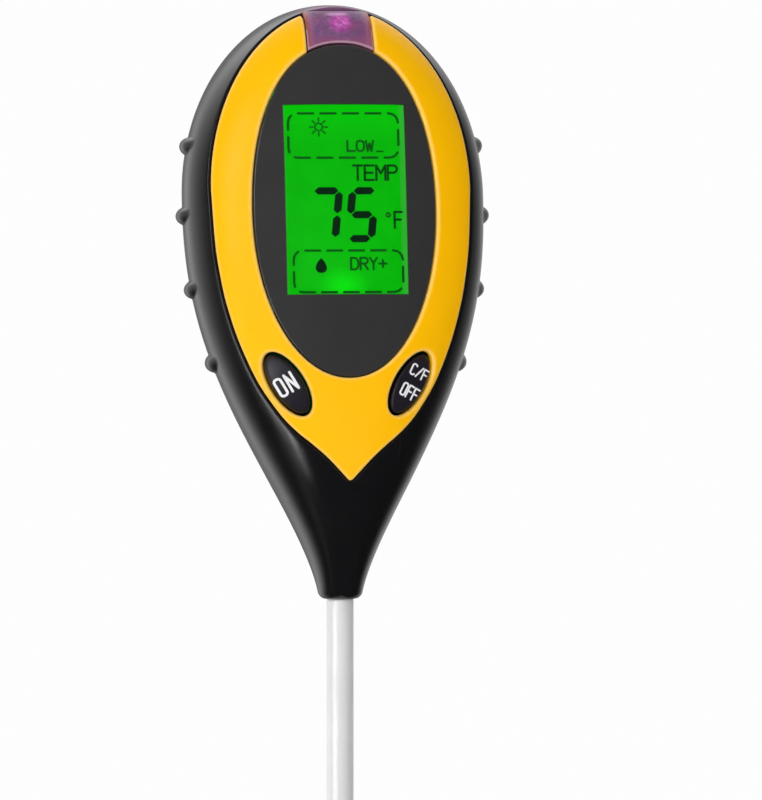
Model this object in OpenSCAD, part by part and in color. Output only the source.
// Hand-held soil tester: a leaf-shaped head on one long steel probe.
// The head carries a domed face plate, a smoked window over a liquid crystal
// display, a light sensor at the top, two push buttons and a 9 V battery.
//
// Frame: origin on the probe axis, at the end face of the neck. +Z runs up
// through the head, the display faces -Y, +X is to the viewer's right.

/* [Head] */
// Height of the head, from the end of the neck to the top
head_h = 122; // [118:1:126]
// Greatest half-width of the head
head_hw = 31.2; // [31:0.1:33]
// Height at which the head is widest
head_zc = 82.5; // [80:0.5:84]
// Depth of the head in front of its mid-plane
head_front = 16.5; // [16.5:0.1:18]
// Depth of the head behind its mid-plane
head_rear = 20.5; // [20.5:0.1:22]
// Half-width of the neck where it ends
neck_r = 4.4; // [4.4:0.1:5]
// Wall thickness of the shells
wall = 2.4; // [2.2:0.1:2.5]
// Angle by which the head leans back from the probe
lean = 7.5; // [5:0.5:8]
// Length of neck over which the lean builds up
bend = 28; // [24:1:32]

/* [Face plate] */
// Greatest half-width of the face plate
face_hw = 27.1; // [26:0.1:28]
// Height of the point at the bottom of the face plate
face_tip = 24.5; // [24:0.1:26]
// Height by which the face plate stands above the shell
face_rise = 0.35; // [0.2:0.05:0.6]
// Depth of the pocket that the face plate is glued into
face_pocket = 1.2; // [1.1:0.05:1.3]

/* [Window] */
// Half-width of the oval window
lens_hw = 19.1; // [18.5:0.1:19.5]
// Half-height of the oval window
lens_hh = 34; // [33:0.5:34]
// Height of the middle of the oval window
lens_zc = 80; // [79:0.5:81]
// Half-width of the light sensor window
sensor_hw = 6.9; // [6:0.1:7.2]

/* [Buttons] */
// Distance of each button from the middle of the face
button_x = 12.8; // [12:0.1:13.4]
// Height of the buttons
button_z = 44.7; // [44:0.1:46]
// Half-length of a button
button_a = 7.1; // [6.6:0.1:7.4]
// Half-width of a button
button_b = 3.05; // [2.8:0.05:3.6]
// Lean of a button's long axis from upright
button_turn = 32; // [20:1:36]

/* [Probe] */
// Outer diameter of the probe
probe_d = 5.5; // [5:0.1:5.6]
// Wall of the probe tube
probe_wall = 0.5; // [0.4:0.05:0.6]
// Length of probe below the neck
probe_len = 200; // [150:5:220]
// Length of the pointed tip
tip_len = 10; // [8:1:12]
// Length of the insulating ring above the tip
ring_len = 4; // [3:0.5:6]

/* [Battery] */
// Width of the 9 V block battery
batt_w = 26.5; // [26:0.1:26.5]
// Thickness of the battery
batt_t = 17.5; // [17:0.1:17.5]
// Height of the battery with its terminals
batt_h = 48.5; // [48:0.1:48.5]

/* [Hidden] */
// Head. "up" is a height along the leaning head, in the head frame.
lean_slope = tan(lean);
pivot_z = bend / 2;             // origin of the head frame
lean_drop = 2;                  // height shift by the lean, from mid-plane to surface
seam_y = 1;                     // seam between the shells, in the head frame
seam_gap = 0.05;                // gap on each side of the seam
rib_zs = [48.2, 63.3, 78.5, 92.9];

// Face
face_top = 121.3;               // top of the ellipse that bounds the face plate
face_end = 119.6;               // top row of the face plate
face_zc = 84;                   // height at which the face plate is widest
sensor_z = 114.3;               // lower edge of the sensor window
sensor_h = 6.4;
opening_gap = 0.15;             // gap around the oval and sensor windows
button_gap = 0.3;               // gap around a button
flange_front = -9.2;            // flange under a button's cap
flange_back = -8.5;
cap_r = 24.5;                   // radius of the dome on a button

// Probe, from the bottom up
probe_r = probe_d / 2;
bore_r = probe_r - probe_wall;
shank_r = probe_r - 0.25;       // slimmer shank of the tube, inside the neck
rod_r = 1;
ring_z = -probe_len + tip_len;  // foot of the insulating ring
tube_z = ring_z + ring_len;     // foot of the tube
tube_top = 22;                  // top of the tube, inside the neck
groove_z = 5.2;                 // groove for the seal
groove_h = 1.7;
collar_z = 10;
collar_r = 4.5;
collar_flange_z = 19;
collar_flange_r = 5.2;

// Circuit board and display, front and back given as y in the head frame
board_front = -5.4;
board_back = -3.8;
board_gap = 0.02;               // gap between the board and what sits on it
glass_mid = 67.4;               // middle of the display, up the head
glass_size = [28, 44];
glass_front = -11.3;
glass_split = -10.25;           // joint between the two sheets of glass
glass_back = -9.15;
glass_ledge = 2.4;              // front sheet's overhang below the rear sheet
panel_at = [0, glass_mid + 1];  // backlight panel
panel_size = [27, 42];
led_spots = [for (side = [-1, 1]) [side * 6, glass_mid - 19.5]];
led_size = [3.4, 1.2];
connector_at = [0, glass_mid - 21];
connector_size = [24, 1];

// Battery, its box in the rear shell and the door over it
batt_front = -1.4;
batt_up = 38;                   // lower end of the battery with its terminals
terminal_h = 2.1;               // terminals below the battery's body
terminals = [[-6.35, 2.85], [6.35, 3.95]]; // x, radius
box_low = 34;
box_high = 87.2;
box_at = [0, (box_low + box_high) / 2];
box_size = [batt_w + 0.8, box_high - box_low];
box_front = -1.6;
door_low = 31;
door_high = 90;
door_hw = 16.4;

// Screw places on both sides, as [x, up]
function both_sides(points) = [for (side = [-1, 1]) for (p = points) [side * p[0], p[1]]];
housing_spots = both_sides([[14.5, 94.5], [9.2, 18.4]]);
board_spots = both_sides([[20.5, 46], [20.5, 80]]);
screw_sink = 3.4;               // depth of a housing screw's seat below the surface

// ---- rules of the head's surface -------------------------------------------

// y of the mid-plane: upright at the neck, straight above the bend.
function spine(z) = z <= 0 ? 0
    : z < bend ? lean_slope * z * z / (2 * bend)
    : lean_slope * (z - pivot_z);
// Quarter superellipse.
function arch(t, order) = pow(max(0, 1 - pow(max(0, t), order)), 1 / order);
// Rounding of the neck's end.
function nose(z, r = 1.5) = z >= r ? 0 : r - sqrt(max(0, r * r - pow(r - max(z, 0), 2)));
// Swell from the neck to full size at wide_z, then an arch over to the top.
function swell(z, inset, size, wide_z, top_order, low_stretch, low_power) = z >= wide_z
    ? (size - inset) * arch((z - wide_z) / (head_h - wide_z - inset), top_order)
    : max(0.3, neck_r - nose(z) - inset + (size - neck_r)
        * pow(cos(90 * pow((wide_z - max(z, 0)) / wide_z, low_stretch)), low_power));
// Half-width, front depth and rear depth at height z.
function half_w(z, inset = 0) = swell(z, inset, head_hw, head_zc, 2, 1.2, 1.46);
function front_d(z, inset = 0) = swell(z, inset, head_front, 60, 4.5, 1.6, 0.9);
function rear_d(z, inset = 0) = swell(z, inset, head_rear, 72, 3, 1.6, 0.9);
// Order of the section: round at the neck, squarer over the head.
function squareness(z) = min(1, max(0, z) / 24);
function order_f(z) = 2 + 0.45 * squareness(z);
function order_r(z) = 2 + 0.3 * squareness(z);
// Depth of the front or rear surface at (x, z). The front is never more
// than 3 below the outer surface.
function dome(x, z, inset, depth, order) =
    depth * arch(abs(x) / max(0.01, half_w(z, inset)), order);
function dome_f(x, z, inset = 0) = max(
    dome(x, z, inset, front_d(z, inset), order_f(z)),
    dome(x, z, 0, front_d(z), order_f(z)) - 3);
function dome_r(x, z, inset = 0) = dome(x, z, inset, rear_d(z, inset), order_r(z));

// Half-width of the face plate and of the oval window.
function face_w(z) = z >= face_zc
    ? face_hw * arch((z - face_zc) / (face_top - face_zc), 2)
    : face_hw * max(0, 1 - pow(max(0, (face_zc - z) / (face_zc - face_tip)), 2.72));
function lens_w(z, inset = 0) = (lens_hw - inset)
    * arch(abs(z - lens_zc) / (lens_hh - inset), z > lens_zc ? 2.2 : 2.04);

// Height z of a point up the head's mid-plane.
function height_of(up) = pivot_z + up * cos(lean);
// y of the seat of a housing screw's head, 14 behind the mid-plane.
function screw_y(p) = dome_r(p[0], height_of(p[1]) - 14 * sin(lean)) - screw_sink;

// ---- building blocks --------------------------------------------------------

// Everything flat inside the head is set out in the head frame:
// x across, y into the head, z up the head.
module head_frame() translate([0, 0, pivot_z]) rotate([-lean, 0, 0]) children();

// Two triangles that share the edge from a to c.
function quad(a, b, c, d) = [[a, b, c], [a, c, d]];

// Closed section through the head at height z.
function section(z, inset, count) = [for (i = [0 : count - 1])
    let(angle = 360 * (i + 0.5) / count, across = cos(angle), deep = sin(angle),
        order = deep < 0 ? order_f(z) : order_r(z),
        depth = deep < 0 ? -front_d(z, inset) : rear_d(z, inset))
    [half_w(z, inset) * sign(across) * pow(abs(across), 2 / order),
     spine(z) + depth * pow(abs(deep), 2 / order), z]];

// Solid between stacked closed sections.
module stacked(rings) {
    n = len(rings[0]);
    top = (len(rings) - 1) * n;
    polyhedron(points = [for (ring = rings) each ring],
        faces = concat(
            [[for (i = [0 : n - 1]) i]],
            [for (k = [0 : n : top - n]) for (i = [0 : n - 1])
                let(j = (i + 1) % n) each quad(k + i, k + n + i, k + n + j, k + j)],
            [[for (i = [n - 1 : -1 : 0]) top + i]]));
}

// Heights of the sections: close together at the neck's end and at the top.
function heights(foot, inset) = let(start = foot <= 0 ? 1.5 : foot) concat(
    foot <= 0 ? [0, 0.4, 0.9, start] : [start],
    [for (i = [1 : 12]) start + (head_zc - start) * i / 13],
    [for (i = [0 : 9]) head_zc + (head_h - head_zc - inset) * sin(i * 9.6)]);

module head_solid(foot = 0, inset = 0, count = 36)
    stacked([for (z = heights(foot, inset)) section(z, inset, count)]);

// Thin plate that follows the front or the rear of the head, from rise above
// the surface to depth below it. rows lists the heights, widths the half-widths.
module skin(rows, widths, rise, depth, rear = false, cols = 12) {
    n = cols + 1;
    top = (len(rows) - 1) * n;
    b = top + n;                // first point of the inner sheet
    function y_at(x, z, inset) = spine(z) + (rear ? dome_r(x, z, inset) : -dome_f(x, z, inset));
    function sheet(inset, shift) = [for (k = [0 : len(rows) - 1]) for (i = [0 : cols])
        let(x = widths[k] * (2 * i / cols - 1)) [x, y_at(x, rows[k], inset) + shift, rows[k]]];
    faces = concat(
        [for (k = [0 : n : top - n]) for (p = [k : k + cols - 1]) each concat(
            quad(p, p + 1, p + n + 1, p + n),
            quad(b + p, b + p + n, b + p + n + 1, b + p + 1))],
        [for (i = [0 : cols - 1]) each concat(
            quad(i, b + i, b + i + 1, i + 1),
            quad(top + i, top + i + 1, b + top + i + 1, b + top + i))],
        [for (k = [0 : n : top - n]) let(e = k + cols) each concat(
            quad(k, k + n, b + k + n, b + k),
            quad(e, b + e, b + e + n, e + n))]);
    polyhedron(points = concat(sheet(0, rear ? rise : -rise), sheet(depth, 0)),
        faces = rear ? faces : [for (f = faces) [f[2], f[1], f[0]]]);
}

// Heights of the rows of the face plate and of the battery door, grown by gap.
function face_rows(gap) = let(start = face_tip + 1 - gap) concat(
    [for (i = [0 : 15]) start + (face_zc - start) * i / 16],
    [for (i = [0 : 8]) face_zc + (face_end + gap - face_zc) * sin(i * 90 / 8)]);
function door_rows(gap) = [for (i = [0 : 12]) height_of(door_low) - lean_drop - gap
    + ((door_high - door_low) * cos(lean) + 2 * gap) * i / 12];

// Extrusion along y of an outline in x and z.
module extrude_y(from, to)
    translate([0, to, 0]) rotate([90, 0, 0]) linear_extrude(height = to - from) children();

module lens_hole(inset, to) {
    function row(i) = lens_zc - (lens_hh - inset) * cos(i * 7.5);
    extrude_y(-40, to) polygon(concat(
        [for (i = [0 : 23]) [lens_w(row(i), inset), row(i)]],
        [for (i = [24 : -1 : 1]) [-lens_w(row(i), inset), row(i)]]));
}

// Centre of a button, turned with it. side is -1 for left, 1 for right.
module button_place(side) head_frame()
    translate([side * button_x, 0, (button_z - pivot_z - lean_drop) / cos(lean)])
        rotate([0, side * button_turn, 0]) children();
module button_oval(gap, from, to) extrude_y(from, to) polygon([for (i = [0 : 31])
    [(button_b + gap) * cos(i * 11.25), (button_a + gap) * sin(i * 11.25)]]);
module button_holes(to)
    for (side = [-1, 1]) button_place(side) button_oval(button_gap, -30, to);

// Round peg and rectangular block at [x, up], between two values of y.
module peg(at, r, from, to)
    translate([at[0], to, at[1]]) rotate([90, 0, 0]) cylinder(r = r, h = to - from, $fn = 24);
module block(at, size, from, to)
    translate([at[0] - size[0] / 2, from, at[1] - size[1] / 2])
        cube([size[0], to - from, size[1]]);
// Block on the back of the circuit board.
module board_block(at, size, height)
    block(at, size, board_back + board_gap, board_back + height);
// Slots of a cross-head screw.
module cross_slots(at, length, width, from, to) {
    block(at, [length, width], from, to);
    block(at, [width, length], from, to);
}

// Round bar between two points.
module bar(start, end, r) {
    run = end - start;
    length = norm(run);
    translate(start) rotate([0, acos(run[2] / length), atan2(run[1], run[0])])
        cylinder(r = r, h = length, $fn = 20);
}
// Wire through a list of points, with a slightly larger ball at each bend.
module wire(points, r) {
    for (i = [0 : len(points) - 2]) bar(points[i], points[i + 1], r);
    for (i = [1 : len(points) - 2]) translate(points[i]) sphere(r = r * 1.25, $fn = 20);
}

// Soft cable along a curve with four control points.
function curve(p, t) = pow(1 - t, 3) * p[0] + 3 * t * pow(1 - t, 2) * p[1]
    + 3 * t * t * (1 - t) * p[2] + pow(t, 3) * p[3];
module cable(points, r) for (i = [0 : 4]) hull() {
    translate(curve(points, i / 5)) sphere(r = r, $fn = 12);
    translate(curve(points, (i + 1) / 5)) sphere(r = r, $fn = 12);
}

// ---- shells -----------------------------------------------------------------

// Grip ribs along both sides of the head, cut by the seam between the shells.
module ribs() for (side = [-1, 1]) for (z = rib_zs)
    translate([side * (half_w(z) - 0.35), spine(z), z])
        hull() for (y = [-1.2, 6]) translate([0, y, 0]) sphere(r = 1.55, $fn = 14);

// Hollow head before it is split. The neck stays solid.
module hollow_head() difference() {
    union() {
        head_solid();
        ribs();
    }
    head_solid(20, wall, 26);
}

module front_half() head_frame()
    translate([-50, -60, -40]) cube([100, 60 + seam_y - seam_gap, 200]);
module rear_half() head_frame()
    translate([-50, seam_y + seam_gap, -40]) cube([100, 60, 200]);

// Bores for the probe and its fittings, up through the neck.
module neck_bores() for (bore = [ // z, radius, height
        [-1, probe_r + 0.05, 1.3],
        [-1, shank_r + 0.05, 30],
        [groove_z, 4.05, groove_h],
        [collar_z - 0.1, collar_r + 0.1, 30],
        [collar_flange_z - 0.1, collar_flange_r + 0.2, 8]])
    translate([0, 0, bore[0]]) cylinder(r = bore[1], h = bore[2], $fn = 32);

// Box around the sensor window, for cutting its opening.
module sensor_slot(y, z, depth, height) translate([-sensor_hw - opening_gap, y, z])
    cube([2 * (sensor_hw + opening_gap), depth, height]);

module front_shell() color([0.09, 0.09, 0.1]) difference() {
    union() {
        intersection() {
            hollow_head();
            front_half();
        }
        head_frame() {
            for (p = housing_spots) intersection() {
                peg(p, 3, -30, 0.9);
                translate([-50, -11.6, -10]) cube([100, 20, 150]);
            }
            for (p = board_spots) peg(p, 2.4, -11.4, board_front - board_gap);
        }
    }
    neck_bores();
    // Pocket for the face plate
    skin(face_rows(0.3), [for (z = face_rows(0.3)) face_w(z) + 0.25], 6, face_pocket);
    lens_hole(1.5, 3);
    sensor_slot(-30, 113, spine(117) + 30 - 2, 8);
    button_holes(-8);
    head_frame() {
        for (p = housing_spots) peg(p, 1.35, -8, 2);
        for (p = board_spots) peg(p, 1.05, -9.6, 0);
    }
}

// Room for the battery, with a notch in front of its terminals.
module battery_room() {
    block(box_at, box_size, box_front, 40);
    block([0, box_low + 0.8], [9, 2.4], -5, 1);
}

module rear_shell() color([0.09, 0.09, 0.1]) difference() {
    union() {
        intersection() {
            hollow_head();
            rear_half();
        }
        intersection() {
            head_solid();
            head_frame() {
                for (p = housing_spots) peg(p, 3.2, seam_y + seam_gap, 30);
                difference() {
                    block(box_at, box_size + [2.6, 2.4], box_front - 1, 30);
                    battery_room();
                }
            }
        }
    }
    neck_bores();
    // Opening for the battery door
    skin(door_rows(0.15), [for (z = door_rows(0.15)) door_hw + 0.15], 4, 1.9, rear = true);
    head_frame() {
        battery_room();
        for (p = housing_spots) {
            peg(p, 1.5, -2, 30);
            peg(p, 2.7, screw_y(p) - 0.02, 40);
        }
    }
}

// ---- face -------------------------------------------------------------------

module face_bezel() color([0.99, 0.76, 0.02]) difference() {
    skin(face_rows(0), [for (z = face_rows(0)) face_w(z) - 0.05],
        face_rise, face_pocket - 0.25, cols = 16);
    lens_hole(-opening_gap, 40);
    sensor_slot(-60, 112, 100, 20);
    button_holes(0);
}

module lens_window() color([0.24, 0.23, 0.25]) {
    rows = [for (i = [0 : 20]) lens_zc - lens_hh * cos(3 + i * 8.7)];
    skin(rows, [for (z = rows) lens_w(z)], 0.1, face_pocket - 0.2, cols = 10);
}

module sensor_window() color([0.6, 0.3, 0.55])
    skin([for (i = [0 : 5]) sensor_z + sensor_h * i / 5],
        [for (i = [0 : 5]) sensor_hw - 0.02], 0.1, 1.5, cols = 8);

// ---- buttons and switches ---------------------------------------------------

// Oval cap with a domed top and a flange that keeps it in the shell.
module button(side) color([0.1, 0.1, 0.15]) button_place(side) {
    intersection() {
        button_oval(0, -30, flange_front + 0.1);
        rotate([0, -side * button_turn, 0])
            translate([-side * 6.75, 7.95, 0]) sphere(r = cap_r, $fn = 64);
    }
    button_oval(0.6, flange_front, flange_back);
}
module on_button() button(-1);
module off_button() button(1);

module plunger(side) color([0.75, 0.2, 0.15])
    button_place(side) peg([0, 0], 1.4, flange_back + 0.05, -6.4);
module on_plunger() plunger(-1);
module off_plunger() plunger(1);

// Square push switch on four legs, bored for its plunger.
module tact(side) color([0.16, 0.16, 0.17]) button_place(side) difference() {
    rotate([0, -side * button_turn, 0]) {
        block([0, 0], [6, 6], board_front - 2, board_front - board_gap);
        for (x = [-3.4, 3.4]) for (up = [-2.2, 2.2])
            block([x, up], [1.2, 0.8], board_front - 0.35, board_front - board_gap);
    }
    peg([0, 0], 1.45, board_front - 5.3, board_front - 0.3);
}
module on_switch() tact(-1);
module off_switch() tact(1);

// ---- display ----------------------------------------------------------------

module display_glass() color([0.1, 0.75, 0.15]) head_frame() {
    block([0, glass_mid], glass_size, glass_front, glass_split);
    block([0, glass_mid + glass_ledge / 2], glass_size - [0, glass_ledge],
        glass_split, glass_back);
}

module display_frame() color([0.85, 0.85, 0.84]) head_frame() difference() {
    union() {
        block([0, glass_mid], glass_size + [3, 3], -10.3, board_front - 0.05);
        for (side = [-1, 1]) block([side * 14.9, glass_mid], [1.2, 10], -11.2, -10.2);
    }
    block([0, glass_mid], glass_size + [0.2, 0.2], -20, glass_back + 0.05);
    block(panel_at, panel_size + [0.2, 0.2], -20, -6.9);
    block([0, glass_mid + 3], [24, 34], -8, 0);
    block(connector_at, connector_size + [1, 0.4], -20, 0);
    for (p = led_spots) block(p, led_size + [0.6, 0.6], -20, 0);
}

module backlight_panel() color([0.93, 0.95, 0.9]) head_frame() difference() {
    block(panel_at, panel_size, -9.05, -7);
    for (p = led_spots) block(p, led_size + [0.4, 0.4], -20, 0);
}

module backlight_led() color([0.95, 0.95, 0.75]) head_frame() for (p = led_spots) {
    block(p, led_size, -8.9, -7.2);
    for (x = [-1.2, 1.2]) block(p + [x, 0], [0.5, 0.5], -7.3, board_front - 0.03);
}

module display_connector() color([0.75, 0.45, 0.6]) head_frame()
    block(connector_at, connector_size, -10.2, board_front - 0.03);

// ---- circuit board ----------------------------------------------------------

// Outline of the board: x, up
board_outline = [[-15.5, 23.6], [15.5, 23.6], [19, 29], [24, 44], [24, 80], [21, 86],
    [15, 89.6], [-15, 89.6], [-21, 86], [-24, 80], [-24, 44], [-19, 29]];

module circuit_board() color([0.05, 0.35, 0.2]) head_frame() difference() {
    extrude_y(board_front, board_back) polygon(board_outline);
    for (p = board_spots) peg(p, 1.2, -8, 0);
}

// Chip with seven legs on each of its four sides.
module controller_chip() color([0.06, 0.06, 0.07]) head_frame() {
    chip_at = [17.6, 63];
    block(chip_at, [7, 7], board_back + 0.05, board_back + 1.15);
    for (i = [-3 : 3]) {
        board_block(chip_at + [0, i * 0.9], [8.4, 0.35], 0.3);
        board_block(chip_at + [i * 0.9, 0], [0.35, 8.4], 0.3);
    }
}

// Small parts on the back of the board: resistors, capacitors and a regulator.
module board_components() color([0.55, 0.5, 0.4]) head_frame() {
    for (i = [0 : 4]) board_block([-18.5 + (i % 2) * 2.6, 52 + i * 4.4], [1.2, 2], 0.6);
    for (i = [0 : 3]) board_block([16 + (i % 2) * 3, 49 + i * 2.2], [1.6, 0.8], 0.5);
    board_block([-18, 75.5], [3, 1.6], 1);
    board_block([0, 27.5], [8, 1.8], 1);
    for (side = [-1, 1]) board_block([side * 8, 30.5], [1.2, 2], 0.6);
}

// Photodiode in a clear domed case, on two legs bent down to the board.
module light_sensor() color([0.95, 0.55, 0.8]) head_frame() {
    translate([0, -6.7, 101.2]) rotate([20, 0, 0])
        rotate_extrude($fn = 48) polygon(concat(
            [[0, -2], [2.4, -2], [2.4, -1.1], [2, -1.1]],
            [for (i = [0 : 7]) [2 * cos(i * 12), 1.8 + 2 * sin(i * 12)]],
            [[0, 3.8]]));
    for (x = [-1.27, 1.27]) wire([[x, -6.2, 100], [x, -3.4, 92], [x, -3.4, 86]], 0.28);
}

// ---- screws -----------------------------------------------------------------

module board_screws() color([0.75, 0.75, 0.76]) head_frame()
    for (p = board_spots) difference() {
        union() {
            peg(p, 1, board_front - 3.6, board_back + 0.2);
            peg(p, 1.9, board_back + 0.03, board_back + 1.2);
        }
        cross_slots(p, 2.2, 0.45, board_back + 0.7, 2);
    }

module housing_screws() color([0.3, 0.3, 0.32]) head_frame()
    for (p = housing_spots) difference() {
        union() {
            peg(p, 1.3, -5.6, screw_y(p) + 0.4);
            peg(p, 2.5, screw_y(p), screw_y(p) + 1.7);
        }
        cross_slots(p, 3, 0.6, screw_y(p) + 0.8, 40);
    }

// ---- battery ----------------------------------------------------------------

// Door with four grooves across it.
module battery_door() color([0.1, 0.1, 0.11]) difference() {
    skin(door_rows(0), [for (z = door_rows(0)) door_hw], 0.02, 1.6, rear = true);
    for (i = [0 : 3]) head_frame() translate([-6, head_rear + 0.15, 78 + i * 2.4])
        rotate([0, 90, 0]) cylinder(r = 0.8, h = 12, $fn = 24);
}

module battery_pad() color([0.2, 0.2, 0.22]) head_frame()
    block(box_at + [0, 4], [16, 26], batt_front + batt_t + 0.2, batt_front + batt_t + 1.2);

// Both terminals, grown by gap.
module terminal_pair(gap, up, height) for (t = terminals)
    translate([t[0], batt_front + batt_t / 2, up]) cylinder(r = t[1] + gap, h = height, $fn = 32);

module battery_9v() color([0.15, 0.25, 0.55]) head_frame() {
    translate([-batt_w / 2, batt_front, batt_up + terminal_h])
        cube([batt_w, batt_t, batt_h - terminal_h]);
    terminal_pair(0, batt_up, terminal_h + 0.2);
}

module battery_clip() color([0.08, 0.08, 0.08]) head_frame() difference() {
    block([0, batt_up], [24, 4], batt_front + 3, batt_front + batt_t - 3);
    terminal_pair(0.15, batt_up - 0.6, 8);
}

module battery_leads() color([0.75, 0.1, 0.1]) head_frame() for (side = [-1, 1])
    cable([[side * 2, batt_front + 6, batt_up - 2.8],
        [side * 2.2, batt_front + 2, batt_up - 3.1],
        [side * 2.4, batt_front + 1, batt_up - 3],
        [side * 2.6, board_back + 0.75, batt_up - 3.1]], 0.65);

// ---- probe ------------------------------------------------------------------

module probe_tube() color([0.85, 0.86, 0.88]) difference() {
    union() {
        translate([0, 0, tube_z]) cylinder(r = probe_r, h = -tube_z, $fn = 64);
        translate([0, 0, -1]) cylinder(r = shank_r, h = tube_top + 1, $fn = 64);
    }
    translate([0, 0, -probe_len]) cylinder(r = bore_r, h = probe_len + 60, $fn = 64);
}

module probe_collar() color([0.75, 0.6, 0.3]) difference() {
    union() {
        translate([0, 0, collar_z])
            cylinder(r = collar_r, h = collar_flange_z - collar_z, $fn = 48);
        translate([0, 0, collar_flange_z]) cylinder(r = collar_flange_r, h = 1.4, $fn = 48);
    }
    translate([0, 0, 5]) cylinder(r = shank_r + 0.02, h = 30, $fn = 48);
}

module probe_seal() color([0.12, 0.12, 0.12]) translate([0, 0, groove_z + groove_h / 2])
    rotate_extrude($fn = 48) translate([shank_r + 0.6, 0]) circle(r = 0.55, $fn = 24);

// Ring with a sleeve that reaches up into the tube.
module probe_insulator() color([0.9, 0.9, 0.88]) translate([0, 0, ring_z]) difference() {
    union() {
        cylinder(r = probe_r - 0.04, h = ring_len - 0.02, $fn = 64);
        cylinder(r = bore_r - 0.04, h = ring_len + 6, $fn = 64);
    }
    translate([0, 0, -1]) cylinder(r = rod_r + 0.05, h = 30, $fn = 32);
}

module probe_tip() color([0.8, 0.8, 0.82]) translate([0, 0, -probe_len]) difference() {
    tip_r = probe_r - 0.06;
    tip_top = tip_len - 0.02;
    rotate_extrude($fn = 64) polygon([[0, 0.35], [0.55, 0.12], [0.9, 0.6],
        [tip_r, tip_len - 3], [tip_r, tip_top], [0, tip_top]]);
    translate([0, 0, tip_len - 4.5]) cylinder(r = rod_r + 0.04, h = 10, $fn = 32);
}

module probe_rod() color([0.8, 0.65, 0.35]) {
    rod_z = ring_z - 4.2;
    translate([0, 0, rod_z]) cylinder(r = rod_r, h = tube_top + 3 - rod_z, $fn = 32);
}

module probe_leads() color([0.2, 0.3, 0.7]) {
    cable([[3.4, 0, tube_top + 0.9], [3.3, 0, tube_top + 7],
        [4.6, 0.6, tube_top + 10], [5, 1.1, 38]], 0.6);
    cable([[0, 0, tube_top + 3.8], [-0.2, 0, tube_top + 8],
        [-4, 0.4, tube_top + 9], [-4.2, 1.1, 38]], 0.6);
}

// Thermistor bead near the tip, with its own fine lead up the tube.
module temperature_sensor() color([0.1, 0.1, 0.1]) {
    bead_x = -1.62;
    bead_z = -probe_len + 26;
    lead_z = bead_z + 3;
    translate([bead_x, 0, bead_z]) cylinder(r = 0.52, h = 4, $fn = 24);
    translate([bead_x, 0, lead_z]) cylinder(r = 0.25, h = tube_top + 6 - lead_z, $fn = 24);
}

front_shell();
rear_shell();
face_bezel();
lens_window();
sensor_window();
on_button();
off_button();
on_plunger();
off_plunger();
on_switch();
off_switch();
display_glass();
display_frame();
backlight_panel();
backlight_led();
display_connector();
circuit_board();
controller_chip();
board_components();
light_sensor();
board_screws();
housing_screws();
battery_door();
battery_pad();
battery_9v();
battery_clip();
battery_leads();
probe_tube();
probe_collar();
probe_seal();
probe_insulator();
probe_tip();
probe_rod();
probe_leads();
temperature_sensor();
